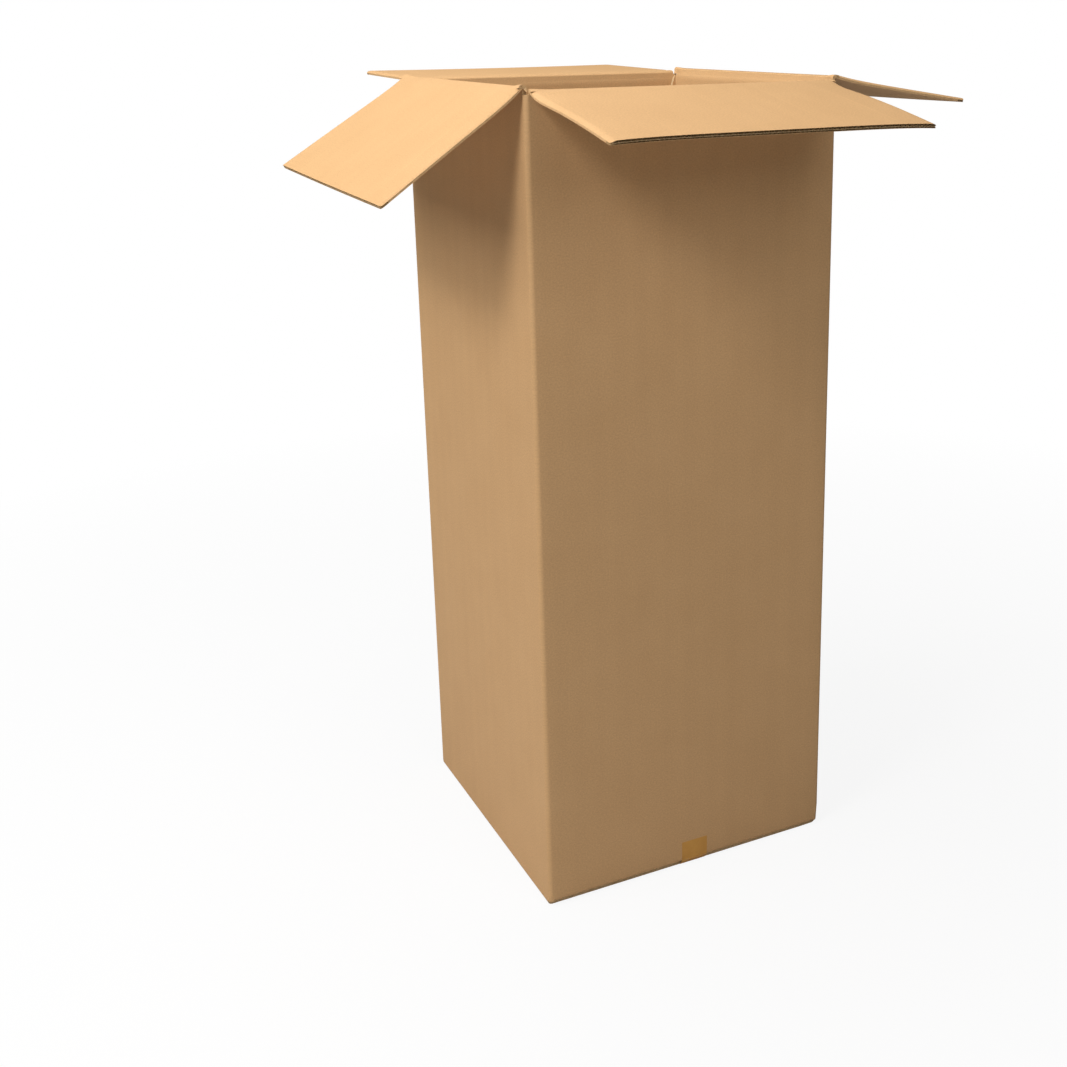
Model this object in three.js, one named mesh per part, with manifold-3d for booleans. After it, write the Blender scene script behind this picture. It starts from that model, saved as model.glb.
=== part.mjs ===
import * as THREE from 'three';
import { mergeGeometries, mergeVertices } from 'three/addons/utils/BufferGeometryUtils.js';
import Module from 'manifold-3d';

// Tall slotted box of double wall corrugated board, standing open with its top flaps folded out.
// Millimetres, +Z up, the front panel faces -Y, the origin is under the middle of the bottom.

// Clear space inside the closed box
const innerWidth = 508;
const innerDepth = 508;
const innerHeight = 1270;

// Double wall board: liner, small flute, liner, large flute, liner, counted from the outside
const boardThickness = 6.5;
const linerThickness = 0.4;
const mediumThickness = 0.42;
const smallFluteHeight = 2.2;
const smallFlutePitch = 7.4;
const largeFluteHeight = boardThickness - 3 * linerThickness - smallFluteHeight;
const largeFlutePitch = 9.1;
const scoreBand = 24;

// Folds and cuts of the blank
const foldOuterRadius = boardThickness + 1.2;
const foldInnerRadius = foldOuterRadius - boardThickness;
const slotClearance = 1;
const slotDepth = 2;
const seamGap = 2.5;
const layerGap = 0.4;
const hingeOffset = 0.12;
const scoreGap = 0.3;

// Glue lap inside the back right corner
const lapWidth = 38;
const lapThickness = 5.2;
const lapTaper = 14;
const lapEndGap = 4;
const rawEdgeSetback = 1.6;

// Closing tape along the bottom seam, turned up on the front and back panels
const tapeWidth = 48;
const tapeThickness = 0.3;
const tapeLeg = 38;

// How far each top flap leans outwards from upright, in degrees
const leftOpen = 122;
const frontOpen = 101;
const backOpen = 89;
const rightOpen = 99;

// Sizes that follow
const outerWidth = innerWidth + 2 * boardThickness;
const outerDepth = innerDepth + 2 * boardThickness;
const halfWidth = outerWidth / 2;
const halfDepth = outerDepth / 2;
const frontHalfSpan = innerWidth / 2 - slotClearance;
const sideHalfSpan = innerDepth / 2 - slotClearance;
const majorLength = (outerWidth - seamGap) / 2;
const minorLength = (Math.min(outerWidth, outerDepth) - seamGap) / 2;

// Levels: the outer bottom flaps lie on the tape, the inner ones on them
const majorFloor = tapeThickness;
const minorFloor = majorFloor + boardThickness + layerGap;
const insideFloor = minorFloor + boardThickness;
const minorHinge = insideFloor + innerHeight + boardThickness;
const majorHinge = minorHinge + boardThickness + layerGap;
const ringBottom = minorFloor + slotDepth;

const arcSteps = 6;
const overlap = 5;

const wasm = await Module();
wasm.setup();

function toSolid(geometry) {
  geometry.deleteAttribute('normal');
  geometry.deleteAttribute('uv');
  const merged = mergeVertices(geometry, 1e-4);
  return new wasm.Manifold(new wasm.Mesh({
    numProp: 3,
    vertProperties: new Float32Array(merged.attributes.position.array),
    triVerts: new Uint32Array(merged.index.array),
  }));
}

function toGeometry(solid) {
  const mesh = solid.getMesh();
  const geometry = new THREE.BufferGeometry();
  geometry.setAttribute('position', new THREE.BufferAttribute(mesh.vertProperties, 3));
  geometry.setIndex(new THREE.BufferAttribute(mesh.triVerts, 1));
  geometry.computeVertexNormals();
  return geometry;
}

function joinAll(solids) {
  return solids.reduce((whole, piece) => whole.add(piece));
}

// Straight bar with a closed outline, standing on Z
function standingBar(outline, bottom, top) {
  const shape = outline instanceof THREE.Shape ? outline : new THREE.Shape(outline);
  const geometry = new THREE.ExtrudeGeometry(shape, {
    depth: top - bottom,
    bevelEnabled: false,
    curveSegments: arcSteps,
  });
  geometry.translate(0, 0, bottom);
  return geometry;
}

// The same bar lying along X, its outline given in (Y, Z)
function barAlongX(outline, from, to) {
  const geometry = standingBar(outline, from, to);
  const lay = new THREE.Matrix4().makeBasis(
    new THREE.Vector3(0, 1, 0),
    new THREE.Vector3(0, 0, 1),
    new THREE.Vector3(1, 0, 0),
  );
  geometry.applyMatrix4(lay);
  return geometry;
}

function block(centreX, centreY, sizeX, sizeY, bottom, top) {
  const geometry = new THREE.BoxGeometry(sizeX, sizeY, top - bottom);
  geometry.translate(centreX, centreY, (bottom + top) / 2);
  return geometry;
}

// Sides are drawn as the front one and turned about Z to their place
const sides = {
  front: { turn: 0, distance: halfDepth, halfSpan: frontHalfSpan, hinge: minorHinge },
  right: { turn: 90, distance: halfWidth, halfSpan: sideHalfSpan, hinge: majorHinge },
  back: { turn: 180, distance: halfDepth, halfSpan: frontHalfSpan, hinge: minorHinge },
  left: { turn: -90, distance: halfWidth, halfSpan: sideHalfSpan, hinge: majorHinge },
};

function turned(geometry, side) {
  geometry.rotateZ(THREE.MathUtils.degToRad(side.turn));
  return geometry;
}

// Corner points of an arc, as a fold in the board has
function arcPoints(centreX, centreY, radius, fromDeg, toDeg) {
  const curve = new THREE.EllipseCurve(
    centreX, centreY, radius, radius,
    THREE.MathUtils.degToRad(fromDeg), THREE.MathUtils.degToRad(toDeg), toDeg < fromDeg,
  );
  return curve.getPoints(arcSteps);
}

// Walls: a square tube with folded corners. At the back right corner the right panel turns in
// behind the back panel as the glue lap, and the back panel's raw edge shows.
function wallTube() {
  const r = foldOuterRadius;
  const inner = foldInnerRadius;
  const wallX = halfWidth - boardThickness;
  const wallY = halfDepth - boardThickness;
  const lapFace = wallY - lapThickness;
  const outline = [
    ...arcPoints(-halfWidth + r, -halfDepth + r, r, 180, 270),
    ...arcPoints(halfWidth - r, -halfDepth + r, r, 270, 360),
    ...arcPoints(halfWidth - r, wallY - r, r, 0, 90),
    new THREE.Vector2(halfWidth - rawEdgeSetback, wallY),
    new THREE.Vector2(halfWidth - rawEdgeSetback, halfDepth),
    ...arcPoints(-halfWidth + r, halfDepth - r, r, 90, 180),
  ];
  const inside = [
    ...arcPoints(-wallX + inner, -wallY + inner, inner, 180, 270),
    ...arcPoints(wallX - inner, -wallY + inner, inner, 270, 360),
    ...arcPoints(wallX - inner, lapFace - inner, inner, 0, 90),
    new THREE.Vector2(wallX - lapWidth, lapFace),
    new THREE.Vector2(wallX - lapWidth, wallY),
    ...arcPoints(-wallX + inner, wallY - inner, inner, 90, 180),
  ];
  const shape = new THREE.Shape(outline);
  shape.holes.push(new THREE.Path(inside));
  return toSolid(standingBar(shape, ringBottom, majorHinge));
}

// Slanted ends of the glue lap, clear of the folded flaps above and below it
function lapEndCuts() {
  const wallX = halfWidth - boardThickness;
  const root = frontHalfSpan - overlap;
  const tip = wallX - lapWidth - overlap;
  const rootTop = minorHinge - boardThickness - lapEndGap;
  const rootBottom = insideFloor + lapEndGap;
  const nearY = halfDepth - boardThickness - lapThickness - overlap;
  const farY = halfDepth - boardThickness;
  const above = new THREE.ExtrudeGeometry(new THREE.Shape([
    new THREE.Vector2(tip, rootTop - lapTaper),
    new THREE.Vector2(root, rootTop),
    new THREE.Vector2(frontHalfSpan + 0.6, rootTop),
    new THREE.Vector2(frontHalfSpan + 0.6, majorHinge + overlap),
    new THREE.Vector2(tip, majorHinge + overlap),
  ]), { depth: farY - nearY, bevelEnabled: false });
  const below = new THREE.ExtrudeGeometry(new THREE.Shape([
    new THREE.Vector2(tip, ringBottom - overlap),
    new THREE.Vector2(frontHalfSpan + 0.6, ringBottom - overlap),
    new THREE.Vector2(frontHalfSpan + 0.6, rootBottom),
    new THREE.Vector2(root, rootBottom),
    new THREE.Vector2(tip, rootBottom + lapTaper),
  ]), { depth: farY - nearY, bevelEnabled: false });
  return [above, below].map((cut) => {
    cut.rotateX(Math.PI / 2);
    cut.translate(0, farY, 0);
    return toSolid(cut);
  });
}

// Open slots in the top at the four corners, down to just below the scores
function slotCuts() {
  const sizeX = halfWidth + overlap - frontHalfSpan;
  const sizeY = halfDepth + overlap - sideHalfSpan;
  const cuts = [];
  for (const signX of [-1, 1]) {
    for (const signY of [-1, 1]) {
      cuts.push(toSolid(block(
        signX * (frontHalfSpan + sizeX / 2),
        signY * (sideHalfSpan + sizeY / 2),
        sizeX,
        sizeY,
        minorHinge - slotDepth,
        majorHinge + overlap,
      )));
    }
  }
  return cuts;
}

// Score along the top of one wall: the wall ends in a slope that the folded flap meets
function scoreCut(side) {
  const outerFace = -side.distance;
  const edge = side.hinge - hingeOffset - scoreGap / 2;
  return toSolid(turned(barAlongX([
    new THREE.Vector2(outerFace - overlap, edge + overlap),
    new THREE.Vector2(outerFace, edge),
    new THREE.Vector2(outerFace + boardThickness + overlap, edge - boardThickness - overlap),
    new THREE.Vector2(outerFace + boardThickness + overlap, majorHinge + overlap),
    new THREE.Vector2(outerFace - overlap, majorHinge + overlap),
  ], -side.halfSpan, side.halfSpan), side));
}

// Foot of one wall with its bottom flap: an L with a rounded fold
function bottomFlap(side, floor, length) {
  const outerFace = -side.distance;
  const innerFace = outerFace + boardThickness;
  const r = foldOuterRadius;
  const centreZ = floor + r;
  const top = ringBottom + 2 * foldOuterRadius;
  return toSolid(turned(barAlongX([
    new THREE.Vector2(outerFace, top),
    ...arcPoints(outerFace + r, centreZ, r, 180, 270),
    new THREE.Vector2(outerFace + length, floor),
    new THREE.Vector2(outerFace + length, floor + boardThickness),
    ...arcPoints(innerFace + foldInnerRadius, centreZ, foldInnerRadius, 270, 180),
    new THREE.Vector2(innerFace, top),
  ], -side.halfSpan, side.halfSpan), side));
}

function caseBody() {
  let walls = wallTube();
  const cuts = [
    ...lapEndCuts(),
    ...slotCuts(),
    ...Object.values(sides).map((side) => scoreCut(side)),
  ];
  for (const cut of cuts) {
    walls = walls.subtract(cut);
  }
  // Below the folds only the corner columns of the tube stay
  const clearTop = ringBottom + foldOuterRadius;
  walls = walls.subtract(toSolid(block(
    0, 0, 2 * frontHalfSpan, outerDepth + 2 * overlap, ringBottom - overlap, clearTop,
  )));
  walls = walls.subtract(toSolid(block(
    0, 0, outerWidth + 2 * overlap, 2 * sideHalfSpan, ringBottom - overlap, clearTop,
  )));
  return joinAll([
    walls,
    bottomFlap(sides.left, majorFloor, majorLength),
    bottomFlap(sides.right, majorFloor, majorLength),
    bottomFlap(sides.front, minorFloor, minorLength),
    bottomFlap(sides.back, minorFloor, minorLength),
  ]);
}

// One layer of open flutes across a flap: three-sided tubes, points outwards and inwards in turn,
// so that the board left between them zigzags from liner to liner
function fluteLayer(halfSpan, nearFace, height, pitch, bottom, top) {
  const periods = Math.floor(2 * (halfSpan - linerThickness) / pitch);
  const start = -periods * pitch / 2;
  const halfBase = pitch / 2 - mediumThickness;
  const tubes = [];
  for (let i = 1; i < 2 * periods; i += 1) {
    const middle = start + i * pitch / 2;
    const base = i % 2 === 1 ? nearFace : nearFace + height;
    const tip = i % 2 === 1 ? nearFace + height : nearFace;
    tubes.push(standingBar([
      new THREE.Vector2(middle - halfBase, base),
      new THREE.Vector2(middle + halfBase, base),
      new THREE.Vector2(middle, tip),
    ], bottom, top));
  }
  return toSolid(mergeGeometries(tubes));
}

// Top flap drawn upright on its hinge line, its outer face towards -Y. Its flutes are open at the
// free edge and end in the crushed band beside the score.
function topFlap(side, length) {
  const face = hingeOffset;
  const root = hingeOffset + scoreGap / 2;
  const plate = toSolid(barAlongX([
    new THREE.Vector2(face, root),
    new THREE.Vector2(face + boardThickness, root + boardThickness),
    new THREE.Vector2(face + boardThickness, length),
    new THREE.Vector2(face, length),
  ], -side.halfSpan, side.halfSpan));
  const smallNear = face + linerThickness;
  const largeNear = smallNear + smallFluteHeight + linerThickness;
  const ends = [root + scoreBand, length + overlap];
  return plate
    .subtract(fluteLayer(side.halfSpan, smallNear, smallFluteHeight, smallFlutePitch, ...ends))
    .subtract(fluteLayer(side.halfSpan, largeNear, largeFluteHeight, largeFlutePitch, ...ends));
}

function flapMesh(name, side, length, open, colour) {
  const mesh = new THREE.Mesh(toGeometry(topFlap(side, length)), new THREE.MeshStandardMaterial({
    color: colour,
    roughness: 0.85,
    metalness: 0,
  }));
  mesh.name = name;
  mesh.rotation.x = THREE.MathUtils.degToRad(open);
  const atHinge = new THREE.Group();
  atHinge.position.set(0, -side.distance - hingeOffset, side.hinge);
  atHinge.add(mesh);
  const atSide = new THREE.Group();
  atSide.rotation.z = THREE.MathUtils.degToRad(side.turn);
  atSide.add(atHinge);
  return atSide;
}

// Tape: one strip along the seam, passing each fold on a slant and up the panel
function bottomTape() {
  const t = tapeThickness;
  const face = halfDepth;
  const bend = sideHalfSpan;
  const rise = majorFloor + foldOuterRadius + layerGap + 3;
  const top = minorFloor + tapeLeg;
  const outline = [
    new THREE.Vector2(-face, top),
    new THREE.Vector2(-face - t, top),
    new THREE.Vector2(-face - t, rise),
    new THREE.Vector2(-bend, 0),
    new THREE.Vector2(bend, 0),
    new THREE.Vector2(face + t, rise),
    new THREE.Vector2(face + t, top),
    new THREE.Vector2(face, top),
    new THREE.Vector2(face, rise + t),
    new THREE.Vector2(bend, t),
    new THREE.Vector2(-bend, t),
    new THREE.Vector2(-face, rise + t),
  ];
  return toSolid(barAlongX(outline, -tapeWidth / 2, tapeWidth / 2));
}

function fixedMesh(name, solid, colour, roughness) {
  const mesh = new THREE.Mesh(toGeometry(solid), new THREE.MeshStandardMaterial({
    color: colour,
    roughness,
    metalness: 0,
  }));
  mesh.name = name;
  return mesh;
}

const corrugatedBox = new THREE.Group();
corrugatedBox.add(
  fixedMesh('case', caseBody(), 0x9b7748, 0.85),
  flapMesh('front_flap', sides.front, minorLength, frontOpen, 0xe2c49a),
  flapMesh('back_flap', sides.back, minorLength, backOpen, 0xe2c49a),
  flapMesh('left_flap', sides.left, majorLength, leftOpen, 0xe9cfa8),
  flapMesh('right_flap', sides.right, majorLength, rightOpen, 0xe2c49a),
  fixedMesh('bottom_tape', bottomTape(), 0xb98a3e, 0.6),
);

export default corrugatedBox;
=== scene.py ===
import bpy
import bmesh
import math
from mathutils import Matrix, Vector


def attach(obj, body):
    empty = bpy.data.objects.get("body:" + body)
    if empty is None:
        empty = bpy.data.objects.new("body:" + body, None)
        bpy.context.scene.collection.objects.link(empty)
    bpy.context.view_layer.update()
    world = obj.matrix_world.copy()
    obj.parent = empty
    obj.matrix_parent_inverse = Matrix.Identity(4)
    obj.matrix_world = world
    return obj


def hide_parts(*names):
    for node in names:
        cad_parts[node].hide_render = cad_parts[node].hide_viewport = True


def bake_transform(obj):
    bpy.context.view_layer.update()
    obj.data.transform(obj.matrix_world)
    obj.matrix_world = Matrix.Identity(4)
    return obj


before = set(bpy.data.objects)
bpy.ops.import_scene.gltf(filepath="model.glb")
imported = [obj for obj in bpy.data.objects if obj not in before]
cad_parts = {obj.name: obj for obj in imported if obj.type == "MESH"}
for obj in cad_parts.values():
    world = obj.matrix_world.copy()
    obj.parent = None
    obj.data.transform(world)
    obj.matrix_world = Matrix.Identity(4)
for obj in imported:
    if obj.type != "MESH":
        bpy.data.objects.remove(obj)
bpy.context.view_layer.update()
mm = 0.001

# Double wall corrugated box, open, in the CAD's own frame. Lengths here are in millimetres.
board = {
    "thickness": 6.5,
    "liner": 0.4,
    "medium": 0.32,
    "smallFlute": {"height": 2.2, "pitch": 6.4},
    "largeFlute": {"height": 3.1, "pitch": 7.8},
    "foldRadius": 7.7,
    "sharpAngle": 35,       # edges that bend more than this stay sharp
}

caseSize = {
    "half": 260.5,          # middle of the box to the outer face of a panel
    "halfSpan": 253.0,      # half the width of a panel between its posts
    "majorFloor": 0.3,      # underside of the outer bottom flaps
    "minorFloor": 7.2,      # underside of the inner bottom flaps
    "minorHinge": 1290.2,   # score of the front and back flaps
    "majorHinge": 1297.1,   # score of the left and right flaps
    "slotLevel": 1288.2,
    "postBottom": 9.2,
    "hingeOffset": 0.12,
    "flapLength": 259.25,
}

# turn about Z, how far the flap leans out from upright, which score it hangs on, half its width,
# and how it lies: a drop at its slot corners and at its free corners, the whole flap sagging, a
# twist, and the share of the board that the score crushes
sides = {
    "front": {"turn": 0, "open": 101, "hinge": "minorHinge", "floor": "minorFloor", "span": 253.0,
              "cornerDip": 5.2, "tipDip": 4.5, "sag": 0.0, "twist": 0.0, "crush": 0.30},
    "right": {"turn": 90, "open": 99, "hinge": "majorHinge", "floor": "majorFloor", "span": 255.5,
              "cornerDip": 0.0, "tipDip": 0.0, "sag": 5.0, "twist": 0.0, "crush": 0.66},
    "back": {"turn": 180, "open": 89, "hinge": "minorHinge", "floor": "minorFloor", "span": 253.0,
             "cornerDip": 0.0, "tipDip": 0.0, "sag": 0.0, "twist": 0.0, "crush": 0.40},
    "left": {"turn": -90, "open": 122, "hinge": "majorHinge", "floor": "majorFloor", "span": 256.5,
             "cornerDip": 1.5, "tipDip": 0.0, "sag": 3.0, "twist": 7.4, "crush": 0.62},
}

boxMiddle = Vector((0, 0, 640))
nearly = 0.01


def linear(hexColour):
    channels = [int(hexColour[i:i + 2], 16) / 255 for i in (0, 2, 4)]
    return tuple(c / 12.92 if c <= 0.04045 else ((c + 0.055) / 1.055) ** 2.4 for c in channels) + (1.0,)


def addNode(tree, kind, values=None, links=None, **settings):
    node = tree.nodes.new(kind)
    for name, value in settings.items():
        setattr(node, name, value)
    for socket, value in (values or {}).items():
        node.inputs[socket].default_value = value
    for socket, source in (links or {}).items():
        tree.links.new(source, node.inputs[socket])
    return node


def newMaterial(name):
    material = bpy.data.materials.new(name)
    material.use_nodes = True
    material.node_tree.nodes.clear()
    return material, material.node_tree


def addNoise(tree, where, scale, detail, roughness=0.5):
    values = {"Scale": scale, "Detail": detail, "Roughness": roughness}
    return addNode(tree, "ShaderNodeTexNoise", values, {"Vector": where}).outputs["Fac"]


# Stretches a map, so that a pattern is finer across the flutes than along them, or the reverse
def stretch(tree, where, across, along):
    values = {"Scale": (across, along, 1.0)}
    return addNode(tree, "ShaderNodeMapping", values, {"Vector": where}).outputs["Vector"]


# Colours a pattern from dark to light between two of its values
def addTone(tree, pattern, darkAt, dark, lightAt, light):
    tone = addNode(tree, "ShaderNodeValToRGB", links={"Fac": pattern})
    ends = tone.color_ramp.elements
    ends[0].position = darkAt
    ends[0].color = linear(dark)
    ends[1].position = lightAt
    ends[1].color = linear(light)
    return tone


# Turns a pattern into a share to multiply a colour by, from low to high between two of its values
def addShare(tree, pattern, low, high, start=0.3, end=0.7):
    values = {"From Min": start, "From Max": end, "To Min": low, "To Max": high}
    return addNode(tree, "ShaderNodeMapRange", values, {"Value": pattern}).outputs["Result"]


# The surface itself, with a fine relief. Its depth is in metres.
def addSurface(tree, colour, relief, strength, depth, roughness, specular):
    bump = addNode(tree, "ShaderNodeBump", {"Strength": strength, "Distance": depth},
                   {"Height": relief})
    shader = addNode(tree, "ShaderNodeBsdfPrincipled",
                     {"Roughness": roughness, "Specular IOR Level": specular, "IOR": 1.5},
                     {"Base Color": colour, "Normal": bump.outputs["Normal"]})
    addNode(tree, "ShaderNodeOutputMaterial", links={"Surface": shader.outputs["BSDF"]})


# Kraft linerboard, pressed on a paper machine: matt, faintly mottled, with fine fibres, soft
# stripes along the flutes and, on the inside, a few light creases
def kraftLiner(name, base, dark, light, stripe, creased):
    material, tree = newMaterial(name)
    # the map is in metres: x across the flutes, y along them
    uv = addNode(tree, "ShaderNodeUVMap", uv_map="boardMap").outputs["UV"]
    cloud = addNoise(tree, uv, scale=9.0, detail=4.0, roughness=0.6)
    fibre = addNoise(tree, stretch(tree, uv, 260.0, 700.0), scale=1.0, detail=5.0, roughness=0.7)
    grain = addNoise(tree, uv, scale=380.0, detail=2.0, roughness=0.6)
    streak = addNoise(tree, stretch(tree, uv, 30.0, 1.2), scale=1.0, detail=3.0, roughness=0.55)
    crease = addNoise(tree, stretch(tree, uv, 95.0, 1.6), scale=1.0, detail=0.0)
    # at this scale the soft bands lie about 40 mm apart
    bands = addNode(tree, "ShaderNodeTexWave",
                    {"Scale": 7.8125, "Distortion": 0.25, "Detail": 1.0, "Detail Scale": 0.2},
                    {"Vector": uv}, bands_direction="X").outputs["Fac"]
    tone = addTone(tree, cloud, darkAt=0.3, dark=dark, lightAt=0.72, light=light)
    middle = tone.color_ramp.elements.new(0.5)
    middle.color = linear(base)
    share = addShare(tree, fibre, 0.93, 1.06)
    for other in (addShare(tree, crease, 1.0, creased, start=0.74, end=0.79),
                  addShare(tree, streak, 1.0 - stripe, 1.0 + stripe),
                  addShare(tree, bands, 1.0 - stripe * 0.6, 1.0 + stripe * 0.4, start=0.0, end=1.0),
                  addShare(tree, grain, 0.92, 1.08)):
        share = addNode(tree, "ShaderNodeMath", links={0: share, 1: other},
                        operation="MULTIPLY").outputs["Value"]
    colour = addNode(tree, "ShaderNodeVectorMath", links={0: tone.outputs["Color"], 1: share},
                     operation="MULTIPLY").outputs["Vector"]
    relief = addNode(tree, "ShaderNodeMath", {1: 0.35}, {0: bands, 2: fibre},
                     operation="MULTIPLY_ADD").outputs["Value"]
    addSurface(tree, colour, relief, strength=0.22, depth=0.0004, roughness=0.78, specular=0.32)
    return material


# Knife-cut edges of the board, and its bare fluting: matt, with a rough grain
def cutEdge(name, base, dark):
    material, tree = newMaterial(name)
    place = addNode(tree, "ShaderNodeTexCoord").outputs["Object"]
    grain = addNoise(tree, place, scale=350.0, detail=5.0, roughness=0.7)
    tone = addTone(tree, grain, darkAt=0.35, dark=dark, lightAt=0.65, light=base)
    addSurface(tree, tone.outputs["Color"], grain, strength=0.4, depth=0.0005, roughness=0.9,
               specular=0.2)
    return material


# Gummed paper tape, glazed kraft: smoother and more golden than the board, with a soft sheen
def paperTape(name, base, dark):
    material, tree = newMaterial(name)
    place = addNode(tree, "ShaderNodeTexCoord").outputs["Object"]
    cloud = addNoise(tree, place, scale=45.0, detail=5.0, roughness=0.6)
    tone = addTone(tree, cloud, darkAt=0.3, dark=dark, lightAt=0.7, light=base)
    addSurface(tree, tone.outputs["Color"], cloud, strength=0.25, depth=0.0006, roughness=0.46,
               specular=0.45)
    return material


outsideLiner = kraftLiner("kraft linerboard outside", "c29a6c", "c0986a", "c49c6e", 0.012, 1.0)
insideLiner = kraftLiner("kraft linerboard inside", "c89f6f", "c69d6d", "caa171", 0.010, 1.08)
edgeMaterial = cutEdge("cut double wall edge", "cdb189", "b0926a")
sideMaterial = cutEdge("knife cut along the flutes", "d0ac7e", "bd976a")
mediumMaterial = cutEdge("fluted medium", "a88a5e", "8a6c45")
tapeMaterial = paperTape("gummed kraft tape", "c8923e", "bb8434")
print("materials ready")

# The places of the materials in a piece's list. Only a flap has the last two, and a score fold
# has the side cut's material in the third place.
outsideFace, insideFace, cutFace, mediumFace, sideFace = range(5)


def sideTurn(side):
    return Matrix.Rotation(math.radians(side["turn"]), 4, "Z")


# The points, edges or faces among what a mesh tool made
def pick(made, kind):
    return [g for g in made if isinstance(g, kind)]


# Draws a line of edges out into faces, and gives the edges at the far side
def drawOut(mesh, edges, move):
    made = bmesh.ops.extrude_edge_only(mesh, edges=edges)["geom"]
    points = pick(made, bmesh.types.BMVert)
    bmesh.ops.translate(mesh, vec=move, verts=points)
    return [e for e in pick(made, bmesh.types.BMEdge) if all(v in points for v in e.verts)]


def splitAt(mesh, place, normal):
    bmesh.ops.bisect_plane(mesh, geom=mesh.verts[:] + mesh.edges[:] + mesh.faces[:],
                           plane_co=place, plane_no=normal)


# Turns an open sheet so that its faces look away from a point inside the box
def faceAway(mesh, inside):
    bmesh.ops.recalc_face_normals(mesh, faces=mesh.faces[:])
    mesh.normal_update()
    facing = sum(f.calc_area() * f.normal.dot(f.calc_center_median() - inside) for f in mesh.faces)
    if facing < 0:
        bmesh.ops.reverse_faces(mesh, faces=mesh.faces[:])
    mesh.normal_update()


# Gives a shell its board thickness: outside and inside liners, and a rim of cut edge
def thicken(mesh, thickness):
    outer = set(mesh.verts)
    bmesh.ops.solidify(mesh, geom=mesh.faces[:], thickness=thickness)
    for face in mesh.faces:
        fromOuter = [v in outer for v in face.verts]
        if all(fromOuter):
            face.material_index = outsideFace
        elif any(fromOuter):
            face.material_index = cutFace
        else:
            face.material_index = insideFace


def looksSideways(face):
    return abs(face.normal.x) > 0.9


def makePiece(mesh, name, body, materials, ride=True):
    bmesh.ops.recalc_face_normals(mesh, faces=mesh.faces[:])
    bmesh.ops.scale(mesh, vec=(mm, mm, mm), verts=mesh.verts[:])
    data = bpy.data.meshes.new(name)
    mesh.to_mesh(data)
    mesh.free()
    data.polygons.foreach_set("use_smooth", [True] * len(data.polygons))
    data.set_sharp_from_angle(angle=math.radians(board["sharpAngle"]))
    piece = bpy.data.objects.new(name, data)
    bpy.context.collection.objects.link(piece)
    for material in materials:
        data.materials.append(material)
    if ride:
        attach(piece, body)
    return piece


# Writes the board map in metres: across the flutes, then along them
def mapBoard(mesh, across, along):
    layer = mesh.loops.layers.uv.new("boardMap")
    for face in mesh.faces:
        for loop in face.loops:
            loop[layer].uv = (across(loop.vert.co, face) * mm, along(loop.vert.co, face) * mm)


def smoothStep(value):
    value = min(max(value, 0.0), 1.0)
    return value * value * (3 - 2 * value)


caseMakes = {
    "foldSteps": 7,
    "postSteps": 8,
    "rawEdge": 1.6,         # the back panel's raw edge, in from the face of the right panel
    "seamGap": 2.5,         # between the ends of two bottom flaps
    "lapReach": 37.0,
    "lapGap": 0.05,         # between the glue lap and the back panel
    "lapFoot": 22.0,        # how far the lap's free edge is cut back at its foot
    "lapHead": 110.0,       # and at its top
    "rowStep": 40.0,
    "rows": 31,
    "topRows": (1275, 1279, 1283, 1287, 1292),
    "columnStep": 33.0,
    "columns": 7,           # to each side of the middle
    "weld": 0.02,
    "levelFace": 0.75,      # a face lies level if its normal is steeper than this
}

# How the standing case has settled: the tall panels bulge a little between the folds, and the
# front right foot is slightly crushed
settling = {
    "bow": 2.4,             # how far a panel bulges at half height
    "bowHeight": 1290,
    "bowStart": 200,        # only points farther out than this bulge
    "bowRun": 50,
    "footReach": 34,
    "footCrush": (1.6, 1.0),
}


# Turns the points that were made since its last call to their side of the box
def turnNew(mesh, turn):
    fresh = [v for v in mesh.verts if not v.tag]
    bmesh.ops.transform(mesh, matrix=turn, verts=fresh)
    for vert in fresh:
        vert.tag = True


# A panel runs down, turns under and ends at the bottom seam as a bottom flap
def foldPanel(mesh, name, side):
    half = caseSize["half"]
    radius = board["foldRadius"]
    span = half - radius
    top = caseSize[side["hinge"]] - caseSize["hingeOffset"]
    bend = caseSize[side["floor"]] + radius
    # the back panel's raw edge lies over the glue lap, on the side of the right panel
    end = half - caseMakes["rawEdge"] if name == "back" else span
    line = [mesh.verts.new((x, -half, top)) for x in (-end, span)]
    edge = drawOut(mesh, [mesh.edges.new(line)], (0, 0, bend - top))
    turned = bmesh.ops.spin(mesh, geom=edge, cent=(0, -half + radius, bend), axis=(1, 0, 0),
                            angle=math.radians(90), steps=caseMakes["foldSteps"])["geom_last"]
    drawOut(mesh, pick(turned, bmesh.types.BMEdge), (0, span - caseMakes["seamGap"] / 2, 0))
    turnNew(mesh, sideTurn(side))


# A round post stands at each corner but the one with the glue lap
def addPosts(mesh):
    half = caseSize["half"]
    span = half - board["foldRadius"]
    for turn in (0, 90, -90):
        bottom = mesh.verts.new((-half, -span, caseSize["postBottom"]))
        top = mesh.verts.new((-half, -span, caseSize["slotLevel"]))
        edge = mesh.edges.new((bottom, top))
        bmesh.ops.spin(mesh, geom=[edge, bottom, top], cent=(-span, -span, 0), axis=(0, 0, 1),
                       angle=math.radians(90), steps=caseMakes["postSteps"])
        turnNew(mesh, Matrix.Rotation(math.radians(turn), 4, "Z"))


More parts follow.
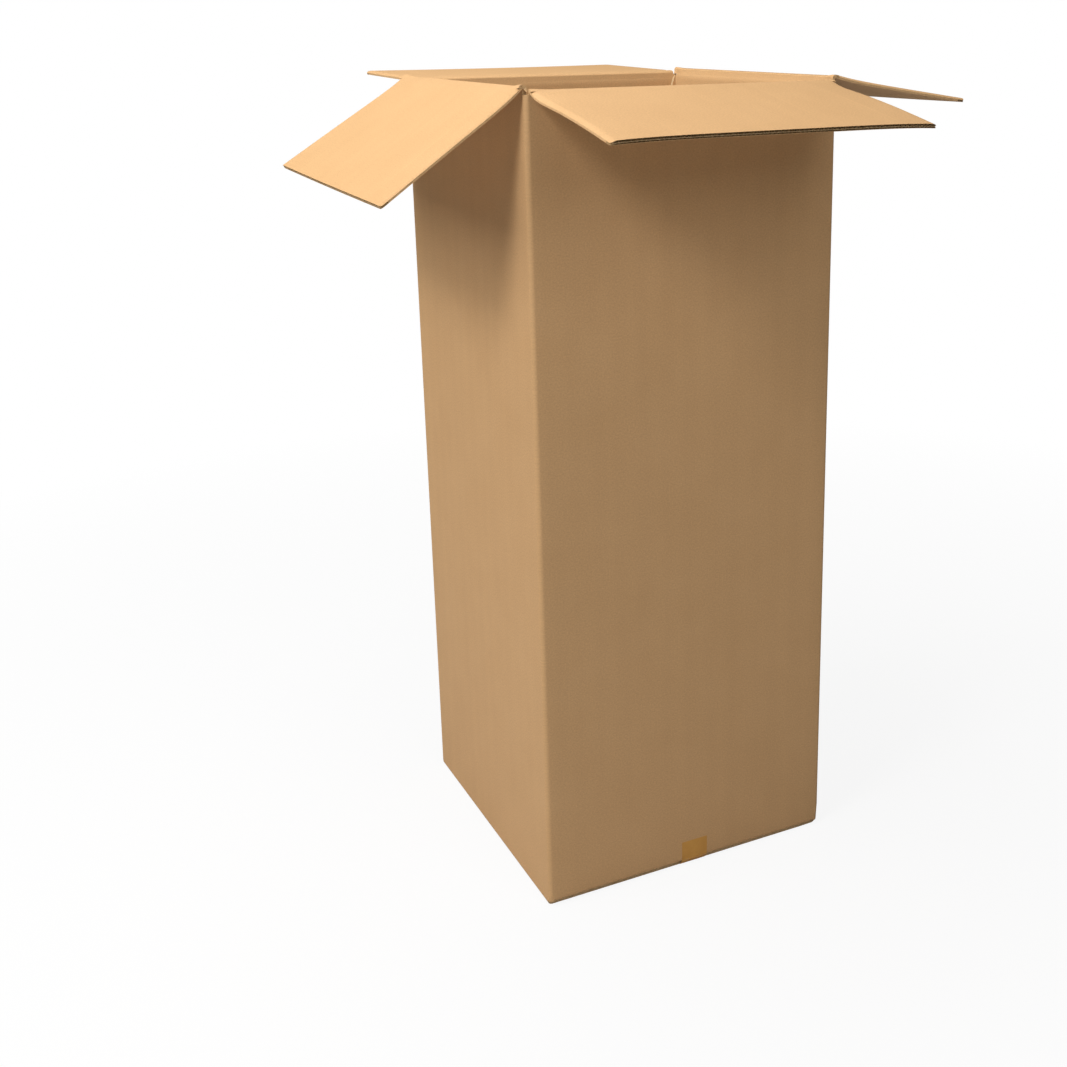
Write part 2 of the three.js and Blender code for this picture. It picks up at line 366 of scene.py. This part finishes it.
# The right panel turns in behind the back panel as the glue lap
def addLap(mesh):
    half = caseSize["half"]
    radius = board["foldRadius"]
    span = half - radius
    lapFold = half - board["thickness"] - radius - caseMakes["lapGap"]
    bottom = mesh.verts.new((half, lapFold, caseSize["postBottom"]))
    top = mesh.verts.new((half, lapFold, caseSize["slotLevel"]))
    edge = mesh.edges.new((bottom, top))
    turned = bmesh.ops.spin(mesh, geom=[edge, bottom, top], cent=(span, lapFold, 0),
                            axis=(0, 0, 1), angle=math.radians(90),
                            steps=caseMakes["postSteps"])["geom_last"]
    freeEdge = drawOut(mesh, pick(turned, bmesh.types.BMEdge), (-caseMakes["lapReach"], 0, 0))[0]
    for vert in freeEdge.verts:
        vert.co.z += caseMakes["lapFoot"] if vert.co.z < boxMiddle.z else -caseMakes["lapHead"]
    # the right panel ends where the lap's fold begins
    panelEnd = [v for v in mesh.verts
                if abs(v.co.x - half) < nearly and abs(v.co.y - span) < nearly]
    bmesh.ops.translate(mesh, vec=(0, lapFold - span, 0), verts=panelEnd)


# Rows and columns of points, so that the panels can bulge and their tops can be pressed
def splitCase(mesh):
    radius = board["foldRadius"]
    levels = [caseSize["postBottom"], caseSize["slotLevel"], caseSize["minorFloor"] + radius,
              caseSize["majorFloor"] + radius]
    levels += [step * caseMakes["rowStep"] for step in range(1, caseMakes["rows"] + 1)]
    levels += caseMakes["topRows"]
    for level in levels:
        splitAt(mesh, (0, 0, level), (0, 0, 1))
    for step in range(-caseMakes["columns"], caseMakes["columns"] + 1):
        for axis in (Vector((1, 0, 0)), Vector((0, 1, 0))):
            splitAt(mesh, axis * step * caseMakes["columnStep"], axis)


# One sheet of board for the whole case, as the blank is folded
def foldCase():
    mesh = bmesh.new()
    for name, side in sides.items():
        foldPanel(mesh, name, side)
    addPosts(mesh)
    addLap(mesh)
    splitCase(mesh)
    bmesh.ops.remove_doubles(mesh, verts=mesh.verts[:], dist=caseMakes["weld"])
    return mesh


scoreMakes = {
    "reach": 14.0,          # how far from its line a score presses the board
    "slotReach": 32.0,      # the last stretch before a slot stays thicker,
    "slotShare": 0.35,      # and takes this share of the pressing
    "panelTop": 16.0,       # how far down from the score a panel is shaped,
    "panelDepth": 8.0,      # and how far in from its outer face
    "wedgeGap": 0.12,
    "bendSteps": 10,
    "columnStep": 9.1,
    "columns": 27,          # to each side of the middle
    "blendReach": 0.6,      # start and end of the bend, as a share of its depth
    "weld": 0.001,
}


# The share of the board's thickness that a score takes away at a distance from its line
def crushAt(side, distance, along):
    near = 1 - smoothStep(abs(distance) / scoreMakes["reach"])
    inner = smoothStep((caseSize["halfSpan"] - abs(along)) / scoreMakes["slotReach"])
    least = scoreMakes["slotShare"]
    return side["crush"] * near * (least + (1 - least) * inner)


# Presses the tops of the panels, and slopes them back from the score so that a flap can close
def crushPanels(mesh):
    half = caseSize["half"]
    for side in sides.values():
        turn = sideTurn(side)
        hinge = caseSize[side["hinge"]]
        for vert in mesh.verts:
            point = turn.inverted() @ vert.co
            depth = point.y + half
            isTop = point.z > hinge - scoreMakes["panelTop"] and abs(point.x) < caseSize["halfSpan"]
            if isTop and 0 < depth < scoreMakes["panelDepth"]:
                depth *= 1 - crushAt(side, hinge - point.z, point.x)
                point.y = -half + depth
                point.z = min(point.z, hinge - caseSize["hingeOffset"] - depth)
                vert.co = turn @ point
    bmesh.ops.remove_doubles(mesh, verts=mesh.verts[:], dist=nearly)


def settle(point):
    half = caseSize["half"]
    start = settling["bowStart"]
    run = settling["bowRun"]
    lift = math.sin(math.pi * min(max(point.z / settling["bowHeight"], 0), 1))
    outX = smoothStep((abs(point.x) - start) / run) * math.copysign(1, point.x)
    outY = smoothStep((abs(point.y) - start) / run) * math.copysign(1, point.y)
    alongX = math.cos(math.pi * point.x / 2 / half) if abs(point.x) < half else 0
    alongY = math.cos(math.pi * point.y / 2 / half) if abs(point.y) < half else 0
    point.x += outX * settling["bow"] * lift * alongY
    point.y += outY * settling["bow"] * lift * alongX
    foot = Vector((point.x - half, point.y + half, point.z))
    crush = smoothStep(1 - foot.length / settling["footReach"])
    point.x -= settling["footCrush"][0] * crush
    point.y += settling["footCrush"][1] * crush
    return point


def caseAcross(point, face):
    normal = face.normal
    if abs(normal.z) > caseMakes["levelFace"]:
        return point.y if point.z < caseSize["minorFloor"] else point.x
    return point.x if abs(normal.y) > abs(normal.x) else point.y


def caseAlong(point, face):
    if abs(face.normal.z) > caseMakes["levelFace"]:
        return point.x if point.z < caseSize["minorFloor"] else point.y
    return point.z


def makeCase():
    mesh = foldCase()
    faceAway(mesh, boxMiddle)
    thicken(mesh, board["thickness"])
    crushPanels(mesh)
    bmesh.ops.recalc_face_normals(mesh, faces=mesh.faces[:])
    mapBoard(mesh, caseAcross, caseAlong)
    for vert in mesh.verts:
        vert.co = settle(vert.co)
    case = makePiece(mesh, "folded_case", "case", [outsideLiner, insideLiner, edgeMaterial])
    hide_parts("case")


makeCase()
print("case ready")

flapMakes = {
    "columns": 56,          # across the flap
    "rows": 40,             # along it
    "waveDepth": 12.0,      # how far in from the free edge the flutes are drawn
    "wavePoints": 8,        # for each flute
    "waveClear": 0.12,      # between a flute and its liners
    "waveInset": 0.4,       # flutes crushed back from the free edge
    "sideInset": 0.3,       # flutes crushed back from the side cuts
    "coreClear": 0.02,
    "coreLap": 1.0,         # how far the flutes run into the solid core
    "sideCrush": 0.55,      # share of the thickness that the side cuts press away
    "sideReach": 9.0,
    "cornerRound": 5.0,
    "roundRun": 24.0,       # how far in from the free edge a corner's rounding fades
    "curl": 1.2,
    "dipReach": 36.0,       # where the drop at a slot corner is deepest, out from the score
    "dipWidth": 48.0,
    "tipWidth": 60.0,
    "sagReach": 34.0,
}


# Carries what is drawn round a hinge line to its side of the box
def hingePlace(side):
    hinge = Vector((0, -caseSize["half"] - caseSize["hingeOffset"], caseSize[side["hinge"]]))
    return sideTurn(side) @ Matrix.Translation(hinge)


# Leans an upright flap out to its place at rest
def leanOut(side):
    return Matrix.Rotation(math.radians(side["open"]), 4, "X")


# How far a point of a flap lies out of the flat sheet, towards the outer face
def lieOf(side, along, height):
    span = side["span"]
    share = height / caseSize["flapLength"]
    toSide = max(span - abs(along), 0)
    reach = flapMakes["dipReach"]
    dip = side["cornerDip"] * height / reach * math.exp(1 - height / reach)
    corner = dip * math.exp(-toSide / flapMakes["dipWidth"])
    tip = side["tipDip"] * share * share * math.exp(-toSide / flapMakes["tipWidth"])
    sag = side["sag"] * (1 - math.exp(-height / flapMakes["sagReach"]))
    curl = flapMakes["curl"] * math.cos(math.pi * along / 2 / span) * share
    return curl + side["twist"] * (1 + along / span) * share + corner + tip + sag


# Shapes a flat flap: thinner along the score and the side cuts, free corners a little round
def layFlap(mesh, side):
    span = side["span"]
    near = caseSize["hingeOffset"]
    radius = flapMakes["cornerRound"]
    for vert in mesh.verts:
        x, y, height = vert.co
        toSide = max(span - abs(x), 0)
        pressed = flapMakes["sideCrush"] * max(1 - toSide / flapMakes["sideReach"], 0) ** 2
        y = near + (y - near) * (1 - pressed)
        y = near + (y - near) * (1 - crushAt(side, height, x))
        if toSide < radius:
            cutBack = radius - math.sqrt(radius * radius - (radius - toSide) ** 2)
            toEnd = (caseSize["flapLength"] - height) / flapMakes["roundRun"]
            height -= cutBack * smoothStep(1 - toEnd)
        vert.co = Vector((x, y - lieOf(side, x, max(height, 0)), height))


# A sheet in a flap, from its depth below the outer face. A wave makes it a fluted medium. The
# root of a plain sheet is cut to the slope of the score.
def addSheet(mesh, width, low, high, depth, thick, columns, rows, slotIndex, wave=None):
    known = set(mesh.faces)
    made = bmesh.ops.create_grid(mesh, x_segments=columns, y_segments=rows, size=0.5)["verts"]
    for vert in made:
        part = vert.co.x * 2
        share = vert.co.y + 0.5
        if wave:
            x = width / 2 * part
            rise = 0.5 + 0.5 * math.sin(2 * math.pi * x / wave["pitch"])
            y = depth + wave["height"] * rise
            root = low
        else:
            # with more columns near the sides
            x = width / 2 * (1.5 * part - 0.5 * part ** 3)
            y = depth
            root = low + depth
        vert.co = Vector((x, y, root + share * (high - root)))
    mesh.normal_update()
    sheet = [f for f in mesh.faces if f not in known]
    bmesh.ops.solidify(mesh, geom=sheet, thickness=thick)
    mesh.normal_update()
    for face in mesh.faces:
        if face not in known:
            face.material_index = sideFace if looksSideways(face) and not wave else slotIndex


def makeFlap(name, side):
    liner = board["liner"]
    medium = board["medium"]
    small = board["smallFlute"]
    large = board["largeFlute"]
    length = caseSize["flapLength"]
    near = caseSize["hingeOffset"]
    columns = flapMakes["columns"]
    rows = flapMakes["rows"]
    clear = flapMakes["coreClear"]
    width = 2 * side["span"]
    inner = width - 2 * flapMakes["sideInset"]
    middle = near + liner + small["height"]
    far = near + board["thickness"] - liner
    mesh = bmesh.new()
    addSheet(mesh, width, near, length, near, liner, columns, rows, outsideFace)
    addSheet(mesh, inner, near, length, middle, liner, columns, rows, cutFace)
    addSheet(mesh, width, near, length, far, liner, columns, rows, insideFace)
    # between the liners: the fluted mediums at the free edge, and solid cores behind them
    coreTop = length - flapMakes["waveDepth"]
    for depth, wave in ((near + liner, small), (middle + liner, large)):
        pitch = wave["pitch"]
        shape = {"height": wave["height"] - medium - flapMakes["waveClear"], "pitch": pitch}
        points = int(width / pitch * flapMakes["wavePoints"])
        addSheet(mesh, inner, coreTop - flapMakes["coreLap"], length - flapMakes["waveInset"],
                 depth, medium, points, 2, mediumFace, shape)
        addSheet(mesh, inner, near, coreTop, depth + clear, wave["height"] - 2 * clear,
                 columns, rows, mediumFace)
    bmesh.ops.recalc_face_normals(mesh, faces=mesh.faces[:])
    mapBoard(mesh, lambda p, f: p.x, lambda p, f: p.z)
    layFlap(mesh, side)
    bmesh.ops.transform(mesh, matrix=hingePlace(side) @ leanOut(side), verts=mesh.verts[:])
    node = name + "_flap"
    piece = makePiece(mesh, name + "_flap_board", node,
                      [outsideLiner, insideLiner, edgeMaterial, mediumMaterial, sideMaterial])
    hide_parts(node)


for sideName, side in sides.items():
    makeFlap(sideName, side)
print("flaps ready")


# A wedge of board that bends round the hinge line, from the slope of the panel's top to that of
# the flap's root
def bendWedge(side):
    near = caseSize["hingeOffset"]
    thickness = board["thickness"]
    gap = scoreMakes["wedgeGap"]
    lean = math.radians(side["open"])
    back = Matrix.Rotation(-lean, 4, "X")
    mesh = bmesh.new()
    line = [mesh.verts.new((x, near, -near - gap)) for x in (-side["span"], side["span"])]
    across = bmesh.ops.extrude_edge_only(mesh, edges=[mesh.edges.new(line)])["geom"]
    bmesh.ops.translate(mesh, vec=(0, thickness, -thickness), verts=pick(across, bmesh.types.BMVert))
    slope = pick(across, bmesh.types.BMFace)
    raised = bmesh.ops.extrude_face_region(mesh, geom=slope)["geom"]
    for vert in pick(raised, bmesh.types.BMVert):
        vert.co.z = 0
    spun = bmesh.ops.spin(mesh, geom=pick(raised, bmesh.types.BMFace), cent=(0, 0, 0),
                          axis=(1, 0, 0), angle=lean, steps=scoreMakes["bendSteps"])["geom_last"]
    last = bmesh.ops.extrude_face_region(mesh, geom=pick(spun, bmesh.types.BMFace))["geom"]
    for vert in pick(last, bmesh.types.BMVert):
        flat = back @ vert.co
        flat.z = flat.y + gap
        vert.co = leanOut(side) @ flat
    for step in range(-scoreMakes["columns"], scoreMakes["columns"] + 1):
        splitAt(mesh, (step * scoreMakes["columnStep"], 0, 0), (1, 0, 0))
    inside = [f for f in mesh.faces if all(len(e.link_faces) > 2 for e in f.edges)]
    bmesh.ops.delete(mesh, geom=inside, context="FACES_ONLY")
    bmesh.ops.remove_doubles(mesh, verts=mesh.verts[:], dist=scoreMakes["weld"])
    return mesh


# Presses the wedge as its panel and its flap are pressed on either side of it
def pressWedge(mesh, side):
    back = Matrix.Rotation(-math.radians(side["open"]), 4, "X")
    for vert in mesh.verts:
        flat = back @ vert.co
        if vert.co.z < -nearly:
            vert.co.y *= 1 - crushAt(side, vert.co.z, vert.co.x)
        elif flat.z > nearly:
            flat.y *= 1 - crushAt(side, flat.z, flat.x)
            flat.y -= lieOf(side, flat.x, flat.z)
            vert.co = leanOut(side) @ flat
        else:
            kept = 1 - crushAt(side, 0, vert.co.x)
            vert.co.y *= kept
            vert.co.z *= kept


# The scored fold between a panel and its flap
def makeScore(name, side):
    mesh = bendWedge(side)
    for face in mesh.faces:
        face.material_index = cutFace if looksSideways(face) else insideFace
    pressWedge(mesh, side)
    mapBoard(mesh, lambda p, f: p.x, lambda p, f: p.z)
    place = hingePlace(side)
    bmesh.ops.transform(mesh, matrix=place, verts=mesh.verts[:])
    piece = makePiece(mesh, name + "_score_fold", "case", [outsideLiner, insideLiner, sideMaterial],
                      ride=False)
    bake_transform(piece)


for sideName, side in sides.items():
    makeScore(sideName, side)
print("score folds ready")

tapeSize = {
    "width": 48.0,
    "leg": 38.0,
    "thick": 0.28,
    "offCentre": 8.0,
    "clear": 0.02,          # in front of the panels
    "bendTop": 11.0,        # where the strip leaves a panel to go under the box
}


# One strip along the bottom seam, over the step between the flap layers and up both panels
def makeTape():
    half = caseSize["half"]
    span = caseSize["halfSpan"]
    middle = tapeSize["offCentre"]
    reach = tapeSize["width"] / 2
    top = caseSize["minorFloor"] + tapeSize["leg"]
    leg = top - tapeSize["bendTop"]
    bendIn = half - span + tapeSize["clear"]
    bendDown = tapeSize["bendTop"] - caseSize["majorFloor"]
    mesh = bmesh.new()
    line = [mesh.verts.new((x, -half - tapeSize["clear"], top))
            for x in (middle - reach, middle + reach)]
    edge = [mesh.edges.new(line)]
    for y, z in ((0, -leg), (bendIn, -bendDown), (2 * span, 0), (bendIn, bendDown), (0, leg)):
        edge = drawOut(mesh, edge, (0, y, z))
    faceAway(mesh, boxMiddle)
    bmesh.ops.solidify(mesh, geom=mesh.faces[:], thickness=-tapeSize["thick"])
    tape = makePiece(mesh, "seam_tape", "case", [tapeMaterial])
    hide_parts("bottom_tape")


makeTape()
print("tape ready")

# Studio, in metres: pale floor, white surround, soft light from above and from the left, and a
# smaller key that falls through the slot at the near corner
studio = {
    "surround": 0.05,
    "aim": (0, 0, 0.75),
    "lamps": {
        "key": {"place": (-2.3, -1.2, 3.1), "size": 0.8, "power": 46},
        "overhead": {"place": (-0.5, 0.4, 3.3), "size": 2.0, "power": 50},
        "left": {"place": (-3.0, -0.2, 2.6), "size": 1.8, "power": 51},
        "frontAbove": {"place": (0.5, -3.0, 2.8), "size": 1.8, "power": 30},
    },
    "floorSize": 30.0,
    "floorColour": "eaeaea",
    "floorReach": (0.7, 2.6),       # from the middle of the box: over this stretch the camera
    "floorShare": (0.90, 1.0),      # sees so much of the floor as plain white
}


def makeSurround():
    world = bpy.data.worlds.new("white surround")
    world.use_nodes = True
    tree = world.node_tree
    tree.nodes.clear()
    path = addNode(tree, "ShaderNodeLightPath")
    lit = addNode(tree, "ShaderNodeBackground", {"Color": linear("ffffff"),
                  "Strength": studio["surround"]})
    seen = addNode(tree, "ShaderNodeBackground", {"Color": linear("ffffff"), "Strength": 1.0})
    mix = addNode(tree, "ShaderNodeMixShader", links={0: path.outputs["Is Camera Ray"],
                  1: lit.outputs["Background"], 2: seen.outputs["Background"]})
    addNode(tree, "ShaderNodeOutputWorld", links={"Surface": mix.outputs["Shader"]})
    bpy.context.scene.world = world


def makeLamps():
    for name, lamp in studio["lamps"].items():
        data = bpy.data.lights.new(name, "AREA")
        data.shape = "SQUARE"
        data.size = lamp["size"]
        data.energy = lamp["power"]
        light = bpy.data.objects.new(name, data)
        light.location = lamp["place"]
        aim = Vector(studio["aim"]) - light.location
        light.rotation_euler = aim.to_track_quat("-Z", "Y").to_euler()
        bpy.context.collection.objects.link(light)


# The camera sees the floor nearly as plain white, with the box's shadow faint on it
def floorMaterial():
    material, tree = newMaterial("pale studio floor")
    path = addNode(tree, "ShaderNodeLightPath")
    matt = addNode(tree, "ShaderNodeBsdfDiffuse", {"Color": linear(studio["floorColour"])})
    white = addNode(tree, "ShaderNodeEmission", {"Color": linear("ffffff"), "Strength": 1.0})
    place = addNode(tree, "ShaderNodeTexCoord").outputs["Object"]
    away = addNode(tree, "ShaderNodeVectorMath", links={0: place}, operation="LENGTH")
    start, end = studio["floorReach"]
    near, far = studio["floorShare"]
    plain = addShare(tree, away.outputs["Value"], near, far, start, end)
    share = addNode(tree, "ShaderNodeMath", links={0: path.outputs["Is Camera Ray"], 1: plain},
                    operation="MULTIPLY")
    mix = addNode(tree, "ShaderNodeMixShader", links={0: share.outputs["Value"],
                  1: matt.outputs["BSDF"], 2: white.outputs["Emission"]})
    addNode(tree, "ShaderNodeOutputMaterial", links={"Surface": mix.outputs["Shader"]})
    return material


def makeFloor():
    mesh = bmesh.new()
    bmesh.ops.create_grid(mesh, x_segments=2, y_segments=2, size=studio["floorSize"])
    data = bpy.data.meshes.new("floor")
    mesh.to_mesh(data)
    mesh.free()
    floor = bpy.data.objects.new("floor", data)
    bpy.context.collection.objects.link(floor)
    data.materials.append(floorMaterial())


makeSurround()
makeLamps()
makeFloor()
bpy.context.scene.view_settings.view_transform = "Standard"

# The photograph's view: 27 degrees round to the left of the front, looking 15 degrees down. The
# place is in metres, and focal, centre and frame are in the photograph's pixels.
cameraView = {"place": (-1.0139, -2.0787, 1.3845), "turn": -27.02, "pitch": 15.21, "roll": -0.62,
              "focal": 1392.4, "centre": (640.0, 400.0), "frame": 1067.0, "sensor": 36.0}


def makeCamera():
    frameWidth = cameraView["frame"]
    centreX, centreY = cameraView["centre"]
    data = bpy.data.cameras.new("photo camera")
    data.sensor_width = cameraView["sensor"]
    data.lens = cameraView["focal"] / frameWidth * data.sensor_width
    data.shift_x = (frameWidth / 2 - centreX) / frameWidth
    data.shift_y = (centreY - frameWidth / 2) / frameWidth
    camera = bpy.data.objects.new("photo camera", data)
    bpy.context.collection.objects.link(camera)
    turn = Matrix.Rotation(math.radians(cameraView["turn"]), 4, "Z")
    tilt = Matrix.Rotation(math.radians(90 - cameraView["pitch"]), 4, "X")
    roll = Matrix.Rotation(math.radians(cameraView["roll"]), 4, "Z")
    camera.matrix_world = Matrix.Translation(cameraView["place"]) @ turn @ tilt @ roll
    bpy.context.scene.camera = camera


makeCamera()
print("studio and camera ready")
